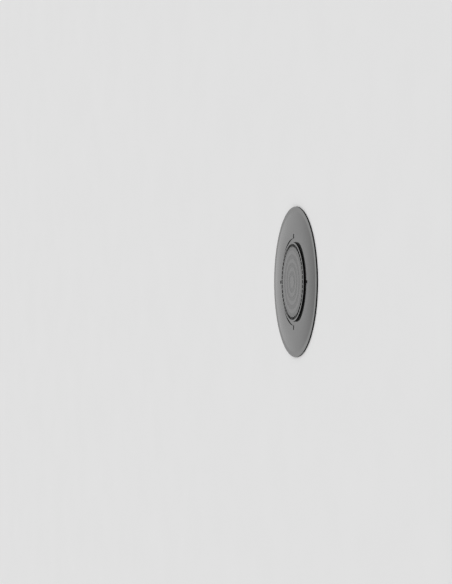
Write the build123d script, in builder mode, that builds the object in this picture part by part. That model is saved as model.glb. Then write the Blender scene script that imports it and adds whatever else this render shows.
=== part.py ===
from build123d import *

import os

# A round suction patch with an adhesive back. All sizes are in millimetres.
# The origin is the centre of the adhesive face, and +Z points out of the front face.

# Adhesive pad on the back
pad_thickness = 0.12
pad_margin = 0.6

# Moulded disc: a flat land at the rim, then the domed sealing face
disc_diameter = 62.0
rim_thickness = 0.5
rim_edge_radius = 0.05
land_width = 1.9
dome_rise = 0.53
dome_crown = 0.13

# Locating groove round the hub, with four keying notches in its outer wall
collar_diameter = 32.8
groove_width = 1.65
groove_depth = 0.27
groove_edge_radius = 0.03
notch_count = 4
notch_length = 1.7
notch_width = 1.2
notch_corner_radius = 0.25

# Hub: the collar, the ring of index pockets and the wall that centres the plate
hub_rise = 1.13
collar_wall = 0.75
collar_edge_radius = 0.04
pocket_length = 1.15
pocket_depth = 0.8
rib_count = 48
rib_width = 0.35
seat_wall = 0.25

# Steel plate in the hub, its concentric bands and the tape under it
plate_clearance = 0.05
plate_thickness = 1.0
tape_thickness = 0.08
tape_margin = 0.4
band_start = 2.7
band_pitch = 3.43
band_width = 1.85
band_depth = 0.02

# Heights above the adhesive face
land_height = pad_thickness + rim_thickness
dome_height = land_height + dome_rise
groove_floor = dome_height - groove_depth
hub_height = land_height + hub_rise
pocket_floor = hub_height - pocket_depth
tape_floor = hub_height - plate_thickness - tape_thickness

# Radii, from the rim inwards
disc_radius = disc_diameter / 2
dome_radius = disc_radius - land_width
collar_radius = collar_diameter / 2
groove_radius = collar_radius + groove_width
pocket_outer = collar_radius - collar_wall
pocket_inner = pocket_outer - pocket_length
seat_radius = pocket_inner - seat_wall
plate_radius = seat_radius - plate_clearance

os.makedirs("parts", exist_ok=True)

# Patch body: one moulding, turned from its half section, then cut and ribbed
with BuildPart() as patch_body:
    with BuildSketch(Plane.XZ) as half_section:
        with BuildLine():
            Polyline(
                (0, tape_floor),
                (0, pad_thickness),
                (disc_radius, pad_thickness),
                (disc_radius, land_height),
                (dome_radius, land_height),
            )
            SagittaArc((dome_radius, land_height), (groove_radius, dome_height), -dome_crown)
            Polyline(
                (groove_radius, dome_height),
                (groove_radius, groove_floor),
                (collar_radius, groove_floor),
                (collar_radius, hub_height),
                (pocket_outer, hub_height),
                (pocket_outer, pocket_floor),
                (pocket_inner, pocket_floor),
                (pocket_inner, hub_height),
                (seat_radius, hub_height),
                (seat_radius, tape_floor),
                (0, tape_floor),
            )
        make_face()
        corners = half_section.vertices()
        fillet(corners.sort_by_distance((disc_radius, land_height))[0], rim_edge_radius)
        fillet(corners.sort_by_distance((groove_radius, dome_height))[0], groove_edge_radius)
        fillet(corners.sort_by_distance((collar_radius, hub_height))[0], collar_edge_radius)
    revolve(axis=Axis.Z)

    # Keying notches, open to the groove and level with its floor
    notch_reach = notch_length + groove_width / 2
    with BuildSketch(Plane.XY.offset(groove_floor)):
        with PolarLocations(groove_radius + notch_length - notch_reach / 2, notch_count):
            RectangleRounded(notch_reach, notch_width, notch_corner_radius)
    extrude(amount=groove_depth + dome_rise, mode=Mode.SUBTRACT)

    # Index ribs, which divide the ring round the plate into pockets
    rib_length = pocket_length + seat_wall
    with BuildSketch(Plane.XY.offset(pocket_floor)):
        with PolarLocations((pocket_inner + pocket_outer) / 2, rib_count, start_angle=180 / rib_count):
            Rectangle(rib_length, rib_width)
    extrude(amount=pocket_depth)
patch_body.part.label = "patch_body"
export_step(patch_body.part, "parts/patch_body.step")

# Plate tape: the double-sided disc that holds the plate down in the hub
with BuildPart() as plate_tape:
    with BuildSketch(Plane.XY.offset(tape_floor)):
        Circle(plate_radius - tape_margin)
    extrude(amount=tape_thickness)
plate_tape.part.label = "plate_tape"
export_step(plate_tape.part, "parts/plate_tape.step")

# Centre plate: the steel disc in the hub, with shallow concentric bands
with BuildPart() as centre_plate:
    with BuildSketch(Plane.XY.offset(tape_floor + tape_thickness)):
        Circle(plate_radius)
    extrude(amount=plate_thickness)
    band_count = int((plate_radius - band_start) / band_pitch) + 1
    with BuildSketch(Plane.XY.offset(hub_height - band_depth)):
        for band in reversed(range(band_count)):
            inner = band_start + band * band_pitch
            outer = min(inner + band_width, plate_radius + plate_clearance)
            Circle(outer)
            Circle(inner, mode=Mode.SUBTRACT)
    extrude(amount=band_depth, mode=Mode.SUBTRACT)
centre_plate.part.label = "centre_plate"
export_step(centre_plate.part, "parts/centre_plate.step")

# Adhesive pad: the sheet that bonds the patch to what carries it
with BuildPart() as adhesive_pad:
    with BuildSketch(Plane.XY):
        Circle(disc_radius - pad_margin)
    extrude(amount=pad_thickness)
adhesive_pad.part.label = "adhesive_pad"
export_step(adhesive_pad.part, "parts/adhesive_pad.step")
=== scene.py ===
import math

import bmesh
import bpy
from mathutils import Matrix, Vector


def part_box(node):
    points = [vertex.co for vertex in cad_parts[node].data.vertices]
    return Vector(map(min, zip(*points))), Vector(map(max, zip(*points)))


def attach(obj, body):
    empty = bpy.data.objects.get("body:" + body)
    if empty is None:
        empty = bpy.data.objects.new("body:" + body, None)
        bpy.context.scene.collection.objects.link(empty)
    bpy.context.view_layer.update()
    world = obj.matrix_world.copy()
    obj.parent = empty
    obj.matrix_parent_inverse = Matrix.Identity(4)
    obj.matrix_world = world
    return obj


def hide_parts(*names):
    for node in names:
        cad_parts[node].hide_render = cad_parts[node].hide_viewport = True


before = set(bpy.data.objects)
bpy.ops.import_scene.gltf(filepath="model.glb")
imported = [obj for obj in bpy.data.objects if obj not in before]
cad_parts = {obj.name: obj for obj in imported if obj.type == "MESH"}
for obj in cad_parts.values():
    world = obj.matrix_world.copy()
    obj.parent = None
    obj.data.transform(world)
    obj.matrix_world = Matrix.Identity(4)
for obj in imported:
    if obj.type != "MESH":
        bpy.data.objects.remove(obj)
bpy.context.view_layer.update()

# The patch lies on its adhesive face, with its axis along Z. Lengths are in metres.
MM = 0.001
body_low, body_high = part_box("patch_body")
plate_low, plate_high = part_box("centre_plate")
pad_low, pad_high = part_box("adhesive_pad")
DISC_RADIUS = body_high.x
BACK_HEIGHT = body_low.z
HUB_HEIGHT = body_high.z
PLATE_RADIUS = plate_high.x
PLATE_BOTTOM = plate_low.z
PLATE_TOP = plate_high.z
PAD_RADIUS = pad_high.x
PAD_BOTTOM = pad_low.z
PAD_TOP = pad_high.z

# Rim and domed sealing face. The margin is the strip of the land beside the dome's foot.
RIM_THICKNESS = 0.5 * MM
RIM_EDGE = 0.05 * MM
BACK_EDGE = 0.03 * MM
LAND_WIDTH = 1.9 * MM
LAND_MARGIN = 0.08 * MM
DOME_RISE = 0.53 * MM
DOME_CROWN = 0.13 * MM

# Groove round the hub, and its keying notches
GROOVE_WIDTH = 1.65 * MM
GROOVE_DEPTH = 0.27 * MM
GROOVE_EDGE = 0.03 * MM
GROOVE_CORNER = 0.03 * MM
NOTCH_COUNT = 4
NOTCH_LENGTH = 1.7 * MM
NOTCH_WIDTH = 1.2 * MM
NOTCH_CORNER = 0.25 * MM
NOTCH_EDGE = 0.02 * MM

# Hub: collar, ring of pockets and the plate's seat
COLLAR_RADIUS = 16.4 * MM
COLLAR_EDGE = 0.04 * MM
COLLAR_WALL = 0.75 * MM
POCKET_LENGTH = 1.15 * MM
POCKET_DEPTH = 0.8 * MM
POCKET_CORNER = 0.1 * MM
POCKET_EDGE = 0.02 * MM
POCKET_FILLET = 0.04 * MM
RIB_COUNT = 48
RIB_WIDTH = 0.35 * MM
SEAT_WALL = 0.25 * MM
SEAT_EDGE = 0.02 * MM
TAPE_THICKNESS = 0.08 * MM

# Steel plate with its concentric bands, and the pad's edge
BAND_START = 2.7 * MM
BAND_PITCH = 3.43 * MM
BAND_WIDTH = 1.85 * MM
BAND_DEPTH = 0.02 * MM
PLATE_EDGE = 0.03 * MM
PAD_EDGE = 0.03 * MM

# Heights and radii that follow from those sizes
LAND_HEIGHT = BACK_HEIGHT + RIM_THICKNESS
DOME_HEIGHT = LAND_HEIGHT + DOME_RISE
DOME_RADIUS = DISC_RADIUS - LAND_WIDTH
GROOVE_RADIUS = COLLAR_RADIUS + GROOVE_WIDTH
GROOVE_FLOOR = DOME_HEIGHT - GROOVE_DEPTH
POCKET_OUTER = COLLAR_RADIUS - COLLAR_WALL
POCKET_INNER = POCKET_OUTER - POCKET_LENGTH
POCKET_FLOOR = HUB_HEIGHT - POCKET_DEPTH
SEAT_RADIUS = POCKET_INNER - SEAT_WALL
SEAT_FLOOR = PLATE_BOTTOM - TAPE_THICKNESS
HUB_INNER = SEAT_RADIUS + 2 * SEAT_EDGE
HUB_OUTER = COLLAR_RADIUS - 2 * COLLAR_EDGE

# Mesh fineness. A sector is one pocket's share of the ring. Steps are counted along its arc and its sides,
# over a rounding and round a pocket's corner. The flats beside a rounding are a share of its radius.
SECTOR = 2 * math.pi / RIB_COUNT
ARC_STEPS = 8
SIDE_STEPS = 6
ROUND_STEPS = 3
CORNER_STEPS = 4
DOME_LOOPS = 28
FLAT_SHARE = 0.3

# Limits: closer points are merged, sharper edges show, steeper faces are walls, and wider faces are split
MERGE_DISTANCE = 0.0002 * MM
SHARP_ANGLE = math.radians(40)
WALL_NORMAL_Z = 0.6
QUAD_CORNERS = 4

# Finish of the plate: rough dark bands between smooth rings, under fine turning lines
RING_GREY = 0.022
RING_ROUGHNESS = 0.16
BAND_GREY = 0.017
BAND_ROUGHNESS = 0.27
BAND_SOFTNESS = 0.15 * MM
LINE_PITCH = 0.15 * MM
LINE_HEIGHT = 0.0012 * MM

# Nearly all of a noise texture's values lie between these two.
NOISE_LOW = 0.3
NOISE_HIGH = 0.7


# Material helpers
def make_material(name, specular):
    material = bpy.data.materials.new(name)
    material.use_nodes = True
    shader_input(material, "Specular IOR Level").default_value = specular
    return material


def shader_input(material, name):
    return material.node_tree.nodes["Principled BSDF"].inputs[name]


def link_shader(material, name, socket):
    material.node_tree.links.new(socket, shader_input(material, name))


def add_node(tree, kind, inputs, **settings):
    """A new node. Its inputs take numbers or the sockets of other nodes."""
    node = tree.nodes.new(kind)
    for name, value in settings.items():
        setattr(node, name, value)
    for name, value in inputs.items():
        if isinstance(value, bpy.types.NodeSocket):
            tree.links.new(value, node.inputs[name])
        else:
            node.inputs[name].default_value = value
    return node


def place_on_object(tree):
    """The shaded point's place in the object's own frame, in metres."""
    return add_node(tree, "ShaderNodeTexCoord", {}).outputs["Object"]


def add_noise(tree, size, detail):
    """Noise whose patches have that size, fixed to the object."""
    inputs = {"Vector": place_on_object(tree), "Scale": 1 / size, "Detail": detail}
    return add_node(tree, "ShaderNodeTexNoise", inputs).outputs["Fac"]


def remap(tree, value, start, end, low, high, shape="LINEAR"):
    """The value's span from start to end, mapped to run from low to high and level beyond."""
    limits = {"Value": value, "From Min": start, "From Max": end, "To Min": low, "To Max": high}
    return add_node(tree, "ShaderNodeMapRange", limits, interpolation_type=shape).outputs["Result"]


def opaque(grey):
    return (grey, grey, grey, 1)


def add_ramp(tree, value, stops):
    """A ramp of greys through (position, grey) stops, in rising order."""
    ramp = add_node(tree, "ShaderNodeValToRGB", {"Fac": value})
    elements = ramp.color_ramp.elements
    for _ in range(len(stops) - len(elements)):
        elements.new(1)
    for element, (position, grey) in zip(elements, stops):
        element.position = position
        element.color = opaque(grey)
    return ramp.outputs["Color"]


def add_mottling(material, size, detail, low, high):
    """A base colour that drifts between two greys, in patches of that size."""
    tree = material.node_tree
    noise = add_noise(tree, size, detail)
    link_shader(material, "Base Color", add_ramp(tree, noise, ((NOISE_LOW, low), (NOISE_HIGH, high))))


def add_gloss_drift(material, size, detail, low, high):
    """A roughness that drifts between two values, in patches of that size."""
    tree = material.node_tree
    noise = add_noise(tree, size, detail)
    link_shader(material, "Roughness", remap(tree, noise, NOISE_LOW, NOISE_HIGH, low, high))


def add_bumps(material, shape, height):
    """Bumps of that height, from a shape that runs from 0 to 1."""
    bump = add_node(material.node_tree, "ShaderNodeBump", {"Height": shape, "Distance": height})
    link_shader(material, "Normal", bump.outputs["Normal"])


def add_grain(material, size, height):
    """Fine bumps of that size and height."""
    add_bumps(material, add_noise(material.node_tree, size, detail=2), height)


# Moulded plastic, pad, tape and floor
def moulded(name, grey, roughness, specular):
    """Black plastic with a fine grain. Its colour and gloss drift slightly."""
    material = make_material(name, specular)
    add_mottling(material, size=1.5 * MM, detail=4, low=0.85 * grey, high=1.15 * grey)
    add_gloss_drift(material, size=4 * MM, detail=3, low=0.9 * roughness, high=1.1 * roughness)
    add_grain(material, size=0.12 * MM, height=0.002 * MM)
    return material


def foam():
    """Closed-cell adhesive foam: dark grey, matt, with small cells."""
    material = make_material("pad_foam", specular=0.2)
    shader_input(material, "Roughness").default_value = 0.85
    add_mottling(material, size=0.3 * MM, detail=3, low=0.035, high=0.06)
    add_grain(material, size=0.08 * MM, height=0.01 * MM)
    return material


def film():
    """White film tape with a faint fibre."""
    material = make_material("tape_film", specular=0.4)
    shader_input(material, "Roughness").default_value = 0.4
    add_mottling(material, size=0.6 * MM, detail=4, low=0.5, high=0.6)
    add_grain(material, size=0.2 * MM, height=0.002 * MM)
    return material


def paint():
    """Pale matt paint with a trace of mottling."""
    material = make_material("floor_paint", specular=0.1)
    shader_input(material, "Roughness").default_value = 0.9
    add_mottling(material, size=30 * MM, detail=3, low=0.735, high=0.745)
    return material


face_plastic = moulded("moulded_face", grey=0.02, roughness=0.16, specular=0.5)
# The walls' copy is darker and less glossy: painted shade on the walls and the pockets' floors.
shaded_wall_plastic = moulded("moulded_wall_painted_shade", grey=0.003, roughness=0.7, specular=0.05)
pad_foam = foam()
tape_film = film()
floor_paint = paint()


# Coated steel
def plate_bands():
    """(inner radius, outer radius) of each recessed band, from the middle outwards."""
    bands = []
    inner = BAND_START
    while inner < PLATE_RADIUS:
        bands.append((inner, min(inner + BAND_WIDTH, PLATE_RADIUS)))
        inner += BAND_PITCH
    return bands


def radius_share(tree):
    """The distance from the axis, as a share of the plate's radius."""
    flat_inputs = {0: place_on_object(tree), 1: (1, 1, 0)}
    flat = add_node(tree, "ShaderNodeVectorMath", flat_inputs, operation="MULTIPLY")
    radius = add_node(tree, "ShaderNodeVectorMath", {0: flat.outputs["Vector"]}, operation="LENGTH")
    share_inputs = {0: radius.outputs["Value"], 1: PLATE_RADIUS}
    return add_node(tree, "ShaderNodeMath", share_inputs, operation="DIVIDE").outputs["Value"]


def band_mask(tree):
    """1 on the bands and 0 on the rings between them, with soft edges."""
    steps = [(0, 0)]
    for inner, outer in plate_bands():
        steps += [(inner - BAND_SOFTNESS, 0), (inner, 1), (outer - BAND_SOFTNESS, 1), (outer, 0)]
    return add_ramp(tree, radius_share(tree), [(radius / PLATE_RADIUS, mask) for radius, mask in steps])


def turning_lines(tree):
    """Fine uneven rings round the axis. The texture's own rings are 2 pi / 20 apart at a scale of 1."""
    scale = 2 * math.pi / 20 / LINE_PITCH
    inputs = {"Vector": place_on_object(tree), "Scale": scale, "Distortion": 0.6, "Detail": 1}
    lines = add_node(tree, "ShaderNodeTexWave", inputs, wave_type="RINGS", rings_direction="Z")
    return lines.outputs["Fac"]


def turned_steel():
    """Black coated steel, with bands that are rougher and darker than the rings between them."""
    material = make_material("steel_coat", specular=0.5)
    tree = material.node_tree
    mask = band_mask(tree)
    link_shader(material, "Roughness", remap(tree, mask, 0, 1, RING_ROUGHNESS, BAND_ROUGHNESS))
    greys = {"Fac": mask, "Color1": opaque(RING_GREY), "Color2": opaque(BAND_GREY)}
    link_shader(material, "Base Color", add_node(tree, "ShaderNodeMixRGB", greys).outputs["Color"])
    add_bumps(material, turning_lines(tree), LINE_HEIGHT)
    return material


steel_coat = turned_steel()


# Mesh helpers
def rounded(corners):
    """An outline of (radius, height) points from (radius, height, rounding) corners."""
    outline = [Vector(corners[0][:2])]
    for before, here, after in zip(corners, corners[1:], corners[2:]):
        outline += round_corner(Vector(before[:2]), Vector(here[:2]), Vector(after[:2]), here[2])
    outline.append(Vector(corners[-1][:2]))
    return outline


def round_corner(before, corner, after, rounding):
    """The points of a rounding, with a narrow flat on each side that keeps the wide flats' shading level."""
    if rounding == 0:
        return [corner]
    back = (before - corner).normalized()
    ahead = (after - corner).normalized()
    half = back.angle(ahead) / 2
    centre = corner + (back + ahead).normalized() * (rounding / math.sin(half))
    start = corner + back * (rounding / math.tan(half)) - centre
    end = corner + ahead * (rounding / math.tan(half)) - centre
    sweep = start.angle(end)
    points = [centre + start + back * FLAT_SHARE * rounding]
    for step in range(ROUND_STEPS + 1):
        share = step / ROUND_STEPS
        turned = start * math.sin((1 - share) * sweep) + end * math.sin(share * sweep)
        points.append(centre + turned / math.sin(sweep))
    points.append(centre + end + ahead * FLAT_SHARE * rounding)
    return points


def polar(radius, angle, height):
    return Vector((radius * math.cos(angle), radius * math.sin(angle), height))


def turn(bm, outline):
    """Turns an outline round Z. A point on the axis closes its end."""
    steps = RIB_COUNT * ARC_STEPS
    angles = [(step / ARC_STEPS - 0.5) * SECTOR for step in range(steps)]
    rings = []
    for radius, height in outline:
        if radius == 0:
            rings.append([bm.verts.new((0, 0, height))] * steps)
        else:
            rings.append([bm.verts.new(polar(radius, angle, height)) for angle in angles])
    for inner, outer in zip(rings, rings[1:]):
        bridge(bm, inner, outer)


def bridge(bm, inner, outer):
    """Joins two closed loops that have as many points. One of them may be a single point, repeated."""
    for step in range(len(inner)):
        after = (step + 1) % len(inner)
        corners = (inner[step], outer[step], outer[after], inner[after])
        bm.faces.new(dict.fromkeys(corners))


def between(start, end, share):
    """The point at that share of the way, with as many numbers as the two ends."""
    return tuple(a + (b - a) * share for a, b in zip(start, end))


def to_object(name, bm):
    """A new object from those faces, with its seams merged and its faces turned outwards."""
    bmesh.ops.remove_doubles(bm, verts=bm.verts, dist=MERGE_DISTANCE)
    bmesh.ops.recalc_face_normals(bm, faces=bm.faces)
    mesh = bpy.data.meshes.new(name)
    bm.to_mesh(mesh)
    bm.free()
    piece = bpy.data.objects.new(name, mesh)
    bpy.context.scene.collection.objects.link(piece)
    return piece


def dress(piece, material):
    """One material all over, and smooth faces with sharp edges by angle."""
    mesh = piece.data
    mesh.materials.clear()
    mesh.materials.append(material)
    for face in mesh.polygons:
        face.use_smooth = True
        face.material_index = 0
    mesh.set_sharp_from_angle(angle=SHARP_ANGLE)


# Pockets of the hub
def half_width(radius, inset):
    """Half of a pocket's width at that radius, between two ribs whose sides are parallel."""
    return radius * (SECTOR / 2 - math.asin(RIB_WIDTH / 2 / radius)) - inset


def pocket_corners(inset):
    """The arcs of a pocket's four corners, as (radius, angle) points, from the inner low one."""
    rounding = POCKET_CORNER - inset
    low = POCKET_INNER + inset + rounding
    high = POCKET_OUTER - inset - rounding
    arcs = []
    for sign, centre, start in ((-1, low, 180), (1, low, 270), (1, high, 0), (-1, high, 90)):
        arc = []
        for step in range(CORNER_STEPS + 1):
            heading = math.radians(start + 90 * step / CORNER_STEPS)
            radius = centre + rounding * math.sin(heading)
            across = sign * (half_width(radius, inset) - rounding) + rounding * math.cos(heading)
            arc.append((radius, across / radius))
        arcs.append(arc)
    return arcs


def pocket_loop(inset, height):
    """One pocket's outline, brought in by inset. It starts half way round its first corner."""
    corners = pocket_corners(inset)
    half_arc = CORNER_STEPS // 2
    loop = []
    for index, steps in enumerate((ARC_STEPS, SIDE_STEPS) * 2):
        start, end = corners[index], corners[(index + 1) % len(corners)]
        straight = steps - CORNER_STEPS
        loop += start[half_arc:]
        loop += [between(start[-1], end[0], step / straight) for step in range(1, straight)]
        loop += end[:half_arc]
    return [(radius, angle, height) for radius, angle in loop]


def sector_loop():
    """The outline of the hub's top over one pocket, with as many points as the pocket's own."""
    low, high = -SECTOR / 2, SECTOR / 2
    corners = ((HUB_INNER, low), (HUB_INNER, high), (HUB_OUTER, high), (HUB_OUTER, low))
    loop = []
    for index, steps in enumerate((ARC_STEPS, SIDE_STEPS) * 2):
        start, end = corners[index], corners[(index + 1) % len(corners)]
        loop += [(*between(start, end, step / steps), HUB_HEIGHT) for step in range(steps)]
    return loop


def pocket_loops():
    """The loops from the hub's top over the pocket's edge and down its wall to its floor."""
    swings = [math.pi / 2 * step / ROUND_STEPS for step in range(ROUND_STEPS + 1)]
    loops = [sector_loop(), pocket_loop(-POCKET_EDGE * (1 + FLAT_SHARE), HUB_HEIGHT)]
    for swing in swings:
        drop = POCKET_EDGE * (1 - math.cos(swing))
        loops.append(pocket_loop(-POCKET_EDGE * (1 - math.sin(swing)), HUB_HEIGHT - drop))
    for swing in swings:
        rise = POCKET_FILLET * (1 - math.sin(swing))
        loops.append(pocket_loop(POCKET_FILLET * (1 - math.cos(swing)), POCKET_FLOOR + rise))
    return loops


def add_pockets(bm):
    """The hub's top with all its pockets."""
    loops = pocket_loops()
    for pocket in range(RIB_COUNT):
        turned = []
        for loop in loops:
            points = [polar(radius, angle + pocket * SECTOR, height) for radius, angle, height in loop]
            turned.append([bm.verts.new(point) for point in points])
        for inner, outer in zip(turned, turned[1:]):
            bridge(bm, inner, outer)
        bm.faces.new(turned[-1])


# Moulded body
def dome_height_at(radius):
    """A straight slope from the groove to the land, with a crown that is highest half way."""
    share = (radius - GROOVE_RADIUS) / (DOME_RADIUS - GROOVE_RADIUS)
    return DOME_HEIGHT - DOME_RISE * share + 4 * DOME_CROWN * share * (1 - share)


def dome_corners():
    corners = []
    for loop in range(1, DOME_LOOPS):
        radius = GROOVE_RADIUS + (DOME_RADIUS - GROOVE_RADIUS) * loop / DOME_LOOPS
        corners.append((radius, dome_height_at(radius), 0))
    return corners


def seat_corners():
    """The plate's seat, from its middle to the hub's top."""
    return [
        (0, SEAT_FLOOR, 0),
        (SEAT_RADIUS, SEAT_FLOOR, 0),
        (SEAT_RADIUS, HUB_HEIGHT, SEAT_EDGE),
        (HUB_INNER, HUB_HEIGHT, 0),
    ]


def face_corners():
    """The collar, groove, dome, land and rim, from the hub's top, and the back as far as the axis."""
    return [
        (HUB_OUTER, HUB_HEIGHT, 0),
        (COLLAR_RADIUS, HUB_HEIGHT, COLLAR_EDGE),
        (COLLAR_RADIUS, GROOVE_FLOOR, GROOVE_CORNER),
        (GROOVE_RADIUS, GROOVE_FLOOR, GROOVE_CORNER),
        (GROOVE_RADIUS, DOME_HEIGHT, GROOVE_EDGE),
        *dome_corners(),
        (DOME_RADIUS, LAND_HEIGHT, 0),
        (DOME_RADIUS + LAND_MARGIN, LAND_HEIGHT, 0),
        (DISC_RADIUS, LAND_HEIGHT, RIM_EDGE),
        (DISC_RADIUS, BACK_HEIGHT, BACK_EDGE),
        (0, BACK_HEIGHT, 0),
    ]


def make_body():
    bm = bmesh.new()
    turn(bm, rounded(seat_corners()))
    turn(bm, rounded(face_corners()))
    add_pockets(bm)
    return to_object("patch_body_moulding", bm)


def notch_loop(grow, height_at):
    """The outline of a notch along +X, grown by that much, with its inner end in the middle of the groove."""
    inner = GROOVE_RADIUS - GROOVE_WIDTH / 2
    outer = GROOVE_RADIUS + NOTCH_LENGTH + grow
    half = NOTCH_WIDTH / 2 + grow
    corner = NOTCH_CORNER + grow
    outline = rounded([(inner, -half, 0), (outer, -half, corner), (outer, half, corner), (inner, half, 0)])
    return [Vector((along, across, height_at(along))) for along, across in outline]


def make_notch_cutter():
    """Four short slots level with the groove's floor, with a small bevel where they leave the dome."""
    loops = [
        notch_loop(0, lambda radius: GROOVE_FLOOR),
        notch_loop(0, lambda radius: dome_height_at(radius) - NOTCH_EDGE),
        notch_loop(NOTCH_EDGE, dome_height_at),
        notch_loop(2 * NOTCH_EDGE, lambda radius: dome_height_at(radius) + NOTCH_EDGE),
        notch_loop(2 * NOTCH_EDGE, lambda radius: DOME_HEIGHT + DOME_RISE),
    ]
    bm = bmesh.new()
    for notch in range(NOTCH_COUNT):
        spin = Matrix.Rotation(notch * 2 * math.pi / NOTCH_COUNT, 3, "Z")
        turned = [[bm.verts.new(spin @ point) for point in loop] for loop in loops]
        bm.faces.new(turned[0])
        bm.faces.new(turned[-1])
        for lower, upper in zip(turned, turned[1:]):
            bridge(bm, lower, upper)
    return to_object("notch_cutter", bm)


def cut(piece, cutter):
    """Takes the cutter's shape out of the piece, and removes the cutter."""
    modifier = piece.modifiers.new("cut", "BOOLEAN")
    modifier.object = cutter
    modifier.operation = "DIFFERENCE"
    modifier.solver = "EXACT"
    bpy.context.view_layer.update()
    evaluated = piece.evaluated_get(bpy.context.evaluated_depsgraph_get())
    mesh = bpy.data.meshes.new_from_object(evaluated)
    mesh.name = piece.name
    piece.modifiers.clear()
    piece.data = mesh
    bpy.data.objects.remove(cutter)


def split_wide_faces(piece):
    """Splits the faces with more corners than a quad into triangles, with none as thin as a line."""
    bm = bmesh.new()
    bm.from_mesh(piece.data)
    wide = [face for face in bm.faces if len(face.verts) > QUAD_CORNERS]
    bmesh.ops.triangulate(bm, faces=wide, ngon_method="BEAUTY")
    bm.to_mesh(piece.data)
    bm.free()


def paint_wall_and_pocket_shade(piece, material):
    """Paints shade on the walls and the pockets' floors, which take a darker, duller copy of the plastic."""
    piece.data.materials.append(material)
    half_way_down = HUB_HEIGHT - POCKET_DEPTH / 2
    for face in piece.data.polygons:
        is_wall = abs(face.normal.z) < WALL_NORMAL_Z
        in_hub = face.center.xy.length < COLLAR_RADIUS and face.center.z < half_way_down
        if is_wall or in_hub:
            face.material_index = 1


body = make_body()
cut(body, make_notch_cutter())
split_wide_faces(body)
dress(body, face_plastic)
# Painted shade: steep faces and the pockets' floors take the darker copy of the plastic.
paint_wall_and_pocket_shade(body, shaded_wall_plastic)
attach(body, "root")
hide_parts("patch_body")


# Steel plate
def make_plate():
    band_floor = PLATE_TOP - BAND_DEPTH
    corners = [(0, PLATE_BOTTOM, 0), (PLATE_RADIUS, PLATE_BOTTOM, PLATE_EDGE)]
    for inner, outer in reversed(plate_bands()):
        if outer < PLATE_RADIUS:
            corners += [(outer, PLATE_TOP, 0), (outer, band_floor, 0)]
        else:
            corners.append((outer, band_floor, PLATE_EDGE))
        corners += [(inner, band_floor, 0), (inner, PLATE_TOP, 0)]
    corners.append((0, PLATE_TOP, 0))
    bm = bmesh.new()
    turn(bm, rounded(corners))
    return to_object("centre_plate_turned", bm)


plate = make_plate()
dress(plate, steel_coat)
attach(plate, "root")
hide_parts("centre_plate")


# Adhesive pad
def make_pad():
    bm = bmesh.new()
    turn(bm, rounded([
        (0, PAD_BOTTOM, 0),
        (PAD_RADIUS, PAD_BOTTOM, PAD_EDGE),
        (PAD_RADIUS, PAD_TOP, PAD_EDGE),
        (0, PAD_TOP, 0),
    ]))
    return to_object("adhesive_pad_sheet", bm)


pad = make_pad()
dress(pad, pad_foam)
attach(pad, "root")
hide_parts("adhesive_pad")

# Plate tape: the CAD node's own shape, with its film finish
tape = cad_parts["plate_tape"].data
tape.materials.clear()
tape.materials.append(tape_film)

# Floor: a hair above the adhesive face, so that this face shows from below
FLOOR_HALF = 4.0
FLOOR_HEIGHT = 0.005 * MM


def make_floor():
    corners = []
    for x, y in ((-1, -1), (1, -1), (1, 1), (-1, 1)):
        corners.append((x * FLOOR_HALF, y * FLOOR_HALF, FLOOR_HEIGHT))
    mesh = bpy.data.meshes.new("floor")
    mesh.from_pydata(corners, [], [(0, 1, 2, 3)])
    mesh.materials.append(floor_paint)
    sheet = bpy.data.objects.new("floor", mesh)
    bpy.context.scene.collection.objects.link(sheet)
    return sheet


floor = make_floor()

# Studio light from all round: (elevation in degrees, light), with a soft dip at half height.
# A ramp's greys end at 1, so the light is drawn as a share of the sky's strength.
SKY = ((0, 0.98), (8, 1.02), (16.4, 1.05), (22, 1.01), (27, 0.94), (35, 0.9), (60, 1.05), (90, 1.1))
SKY_STRENGTH = 2.0

# Overhead, the light fades from a bright side towards +X to a dim one. Spans are in the direction's X and Z.
BRIGHT_SIDE = 1.45
DIM_SIDE = 0.6
SIDE_SPAN = 0.25
OVERHEAD_START = 0.75
OVERHEAD_END = 0.93


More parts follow.
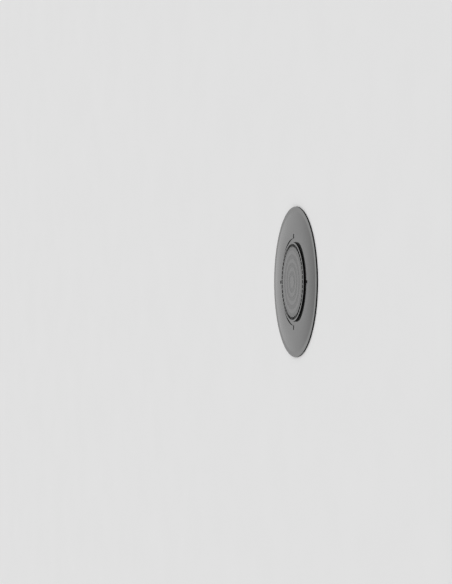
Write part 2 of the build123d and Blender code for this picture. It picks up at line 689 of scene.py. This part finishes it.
def light_sky():
    world = bpy.data.worlds.new("studio")
    world.use_nodes = True
    sky = world.node_tree
    background = sky.nodes["Background"].inputs
    direction = add_node(sky, "ShaderNodeTexCoord", {}).outputs["Generated"]
    split = add_node(sky, "ShaderNodeSeparateXYZ", {"Vector": direction}).outputs
    stops = [(math.sin(math.radians(elevation)), light / SKY_STRENGTH) for elevation, light in SKY]
    sky.links.new(add_ramp(sky, split["Z"], stops), background["Color"])
    dim, bright = DIM_SIDE * SKY_STRENGTH, BRIGHT_SIDE * SKY_STRENGTH
    side = remap(sky, split["X"], -SIDE_SPAN, SIDE_SPAN, dim, bright, "SMOOTHSTEP")
    overhead = remap(sky, split["Z"], OVERHEAD_START, OVERHEAD_END, 0, 1, "SMOOTHSTEP")
    level = add_node(sky, "ShaderNodeMix", {0: overhead, 2: SKY_STRENGTH, 3: side}, data_type="FLOAT")
    sky.links.new(level.outputs["Result"], background["Strength"])
    bpy.context.scene.world = world


light_sky()

# Camera, at the photograph's viewing angle: low over the face, turned so that +X is up in the picture.
# The tilt is the angle from -Z to the picture's right, and the rim's centre lies at that pixel and depth.
IMAGE_WIDTH, IMAGE_HEIGHT = 452, 584
FOCAL_PIXELS = 2650
RIM_CENTRE_PIXEL = (294.80, 281.92)
RIM_CENTRE_DEPTH = 1.0916
CAMERA_TILT = math.radians(14.925)
CLIP_NEAR, CLIP_FAR = 0.01, 20


def camera_axes():
    """The directions in space of the picture's right and top, and towards the camera."""
    right = Vector((0, -math.sin(CAMERA_TILT), -math.cos(CAMERA_TILT)))
    up = Vector((1, 0, 0))
    return right, up, right.cross(up)


def add_camera():
    right, up, back = camera_axes()
    across = (RIM_CENTRE_PIXEL[0] - IMAGE_WIDTH / 2) / FOCAL_PIXELS * RIM_CENTRE_DEPTH
    above = (IMAGE_HEIGHT / 2 - RIM_CENTRE_PIXEL[1]) / FOCAL_PIXELS * RIM_CENTRE_DEPTH
    rim_centre = Vector((0, 0, LAND_HEIGHT))
    place = rim_centre - right * across - up * above + back * RIM_CENTRE_DEPTH
    data = bpy.data.cameras.new("camera")
    data.sensor_fit = "AUTO"
    data.lens = data.sensor_width * FOCAL_PIXELS / IMAGE_HEIGHT
    data.clip_start, data.clip_end = CLIP_NEAR, CLIP_FAR
    camera = bpy.data.objects.new("camera", data)
    bpy.context.scene.collection.objects.link(camera)
    camera.matrix_world = Matrix.Translation(place) @ Matrix((right, up, back)).transposed().to_4x4()
    return camera


bpy.context.scene.camera = add_camera()
bpy.context.scene.view_settings.view_transform = "Standard"
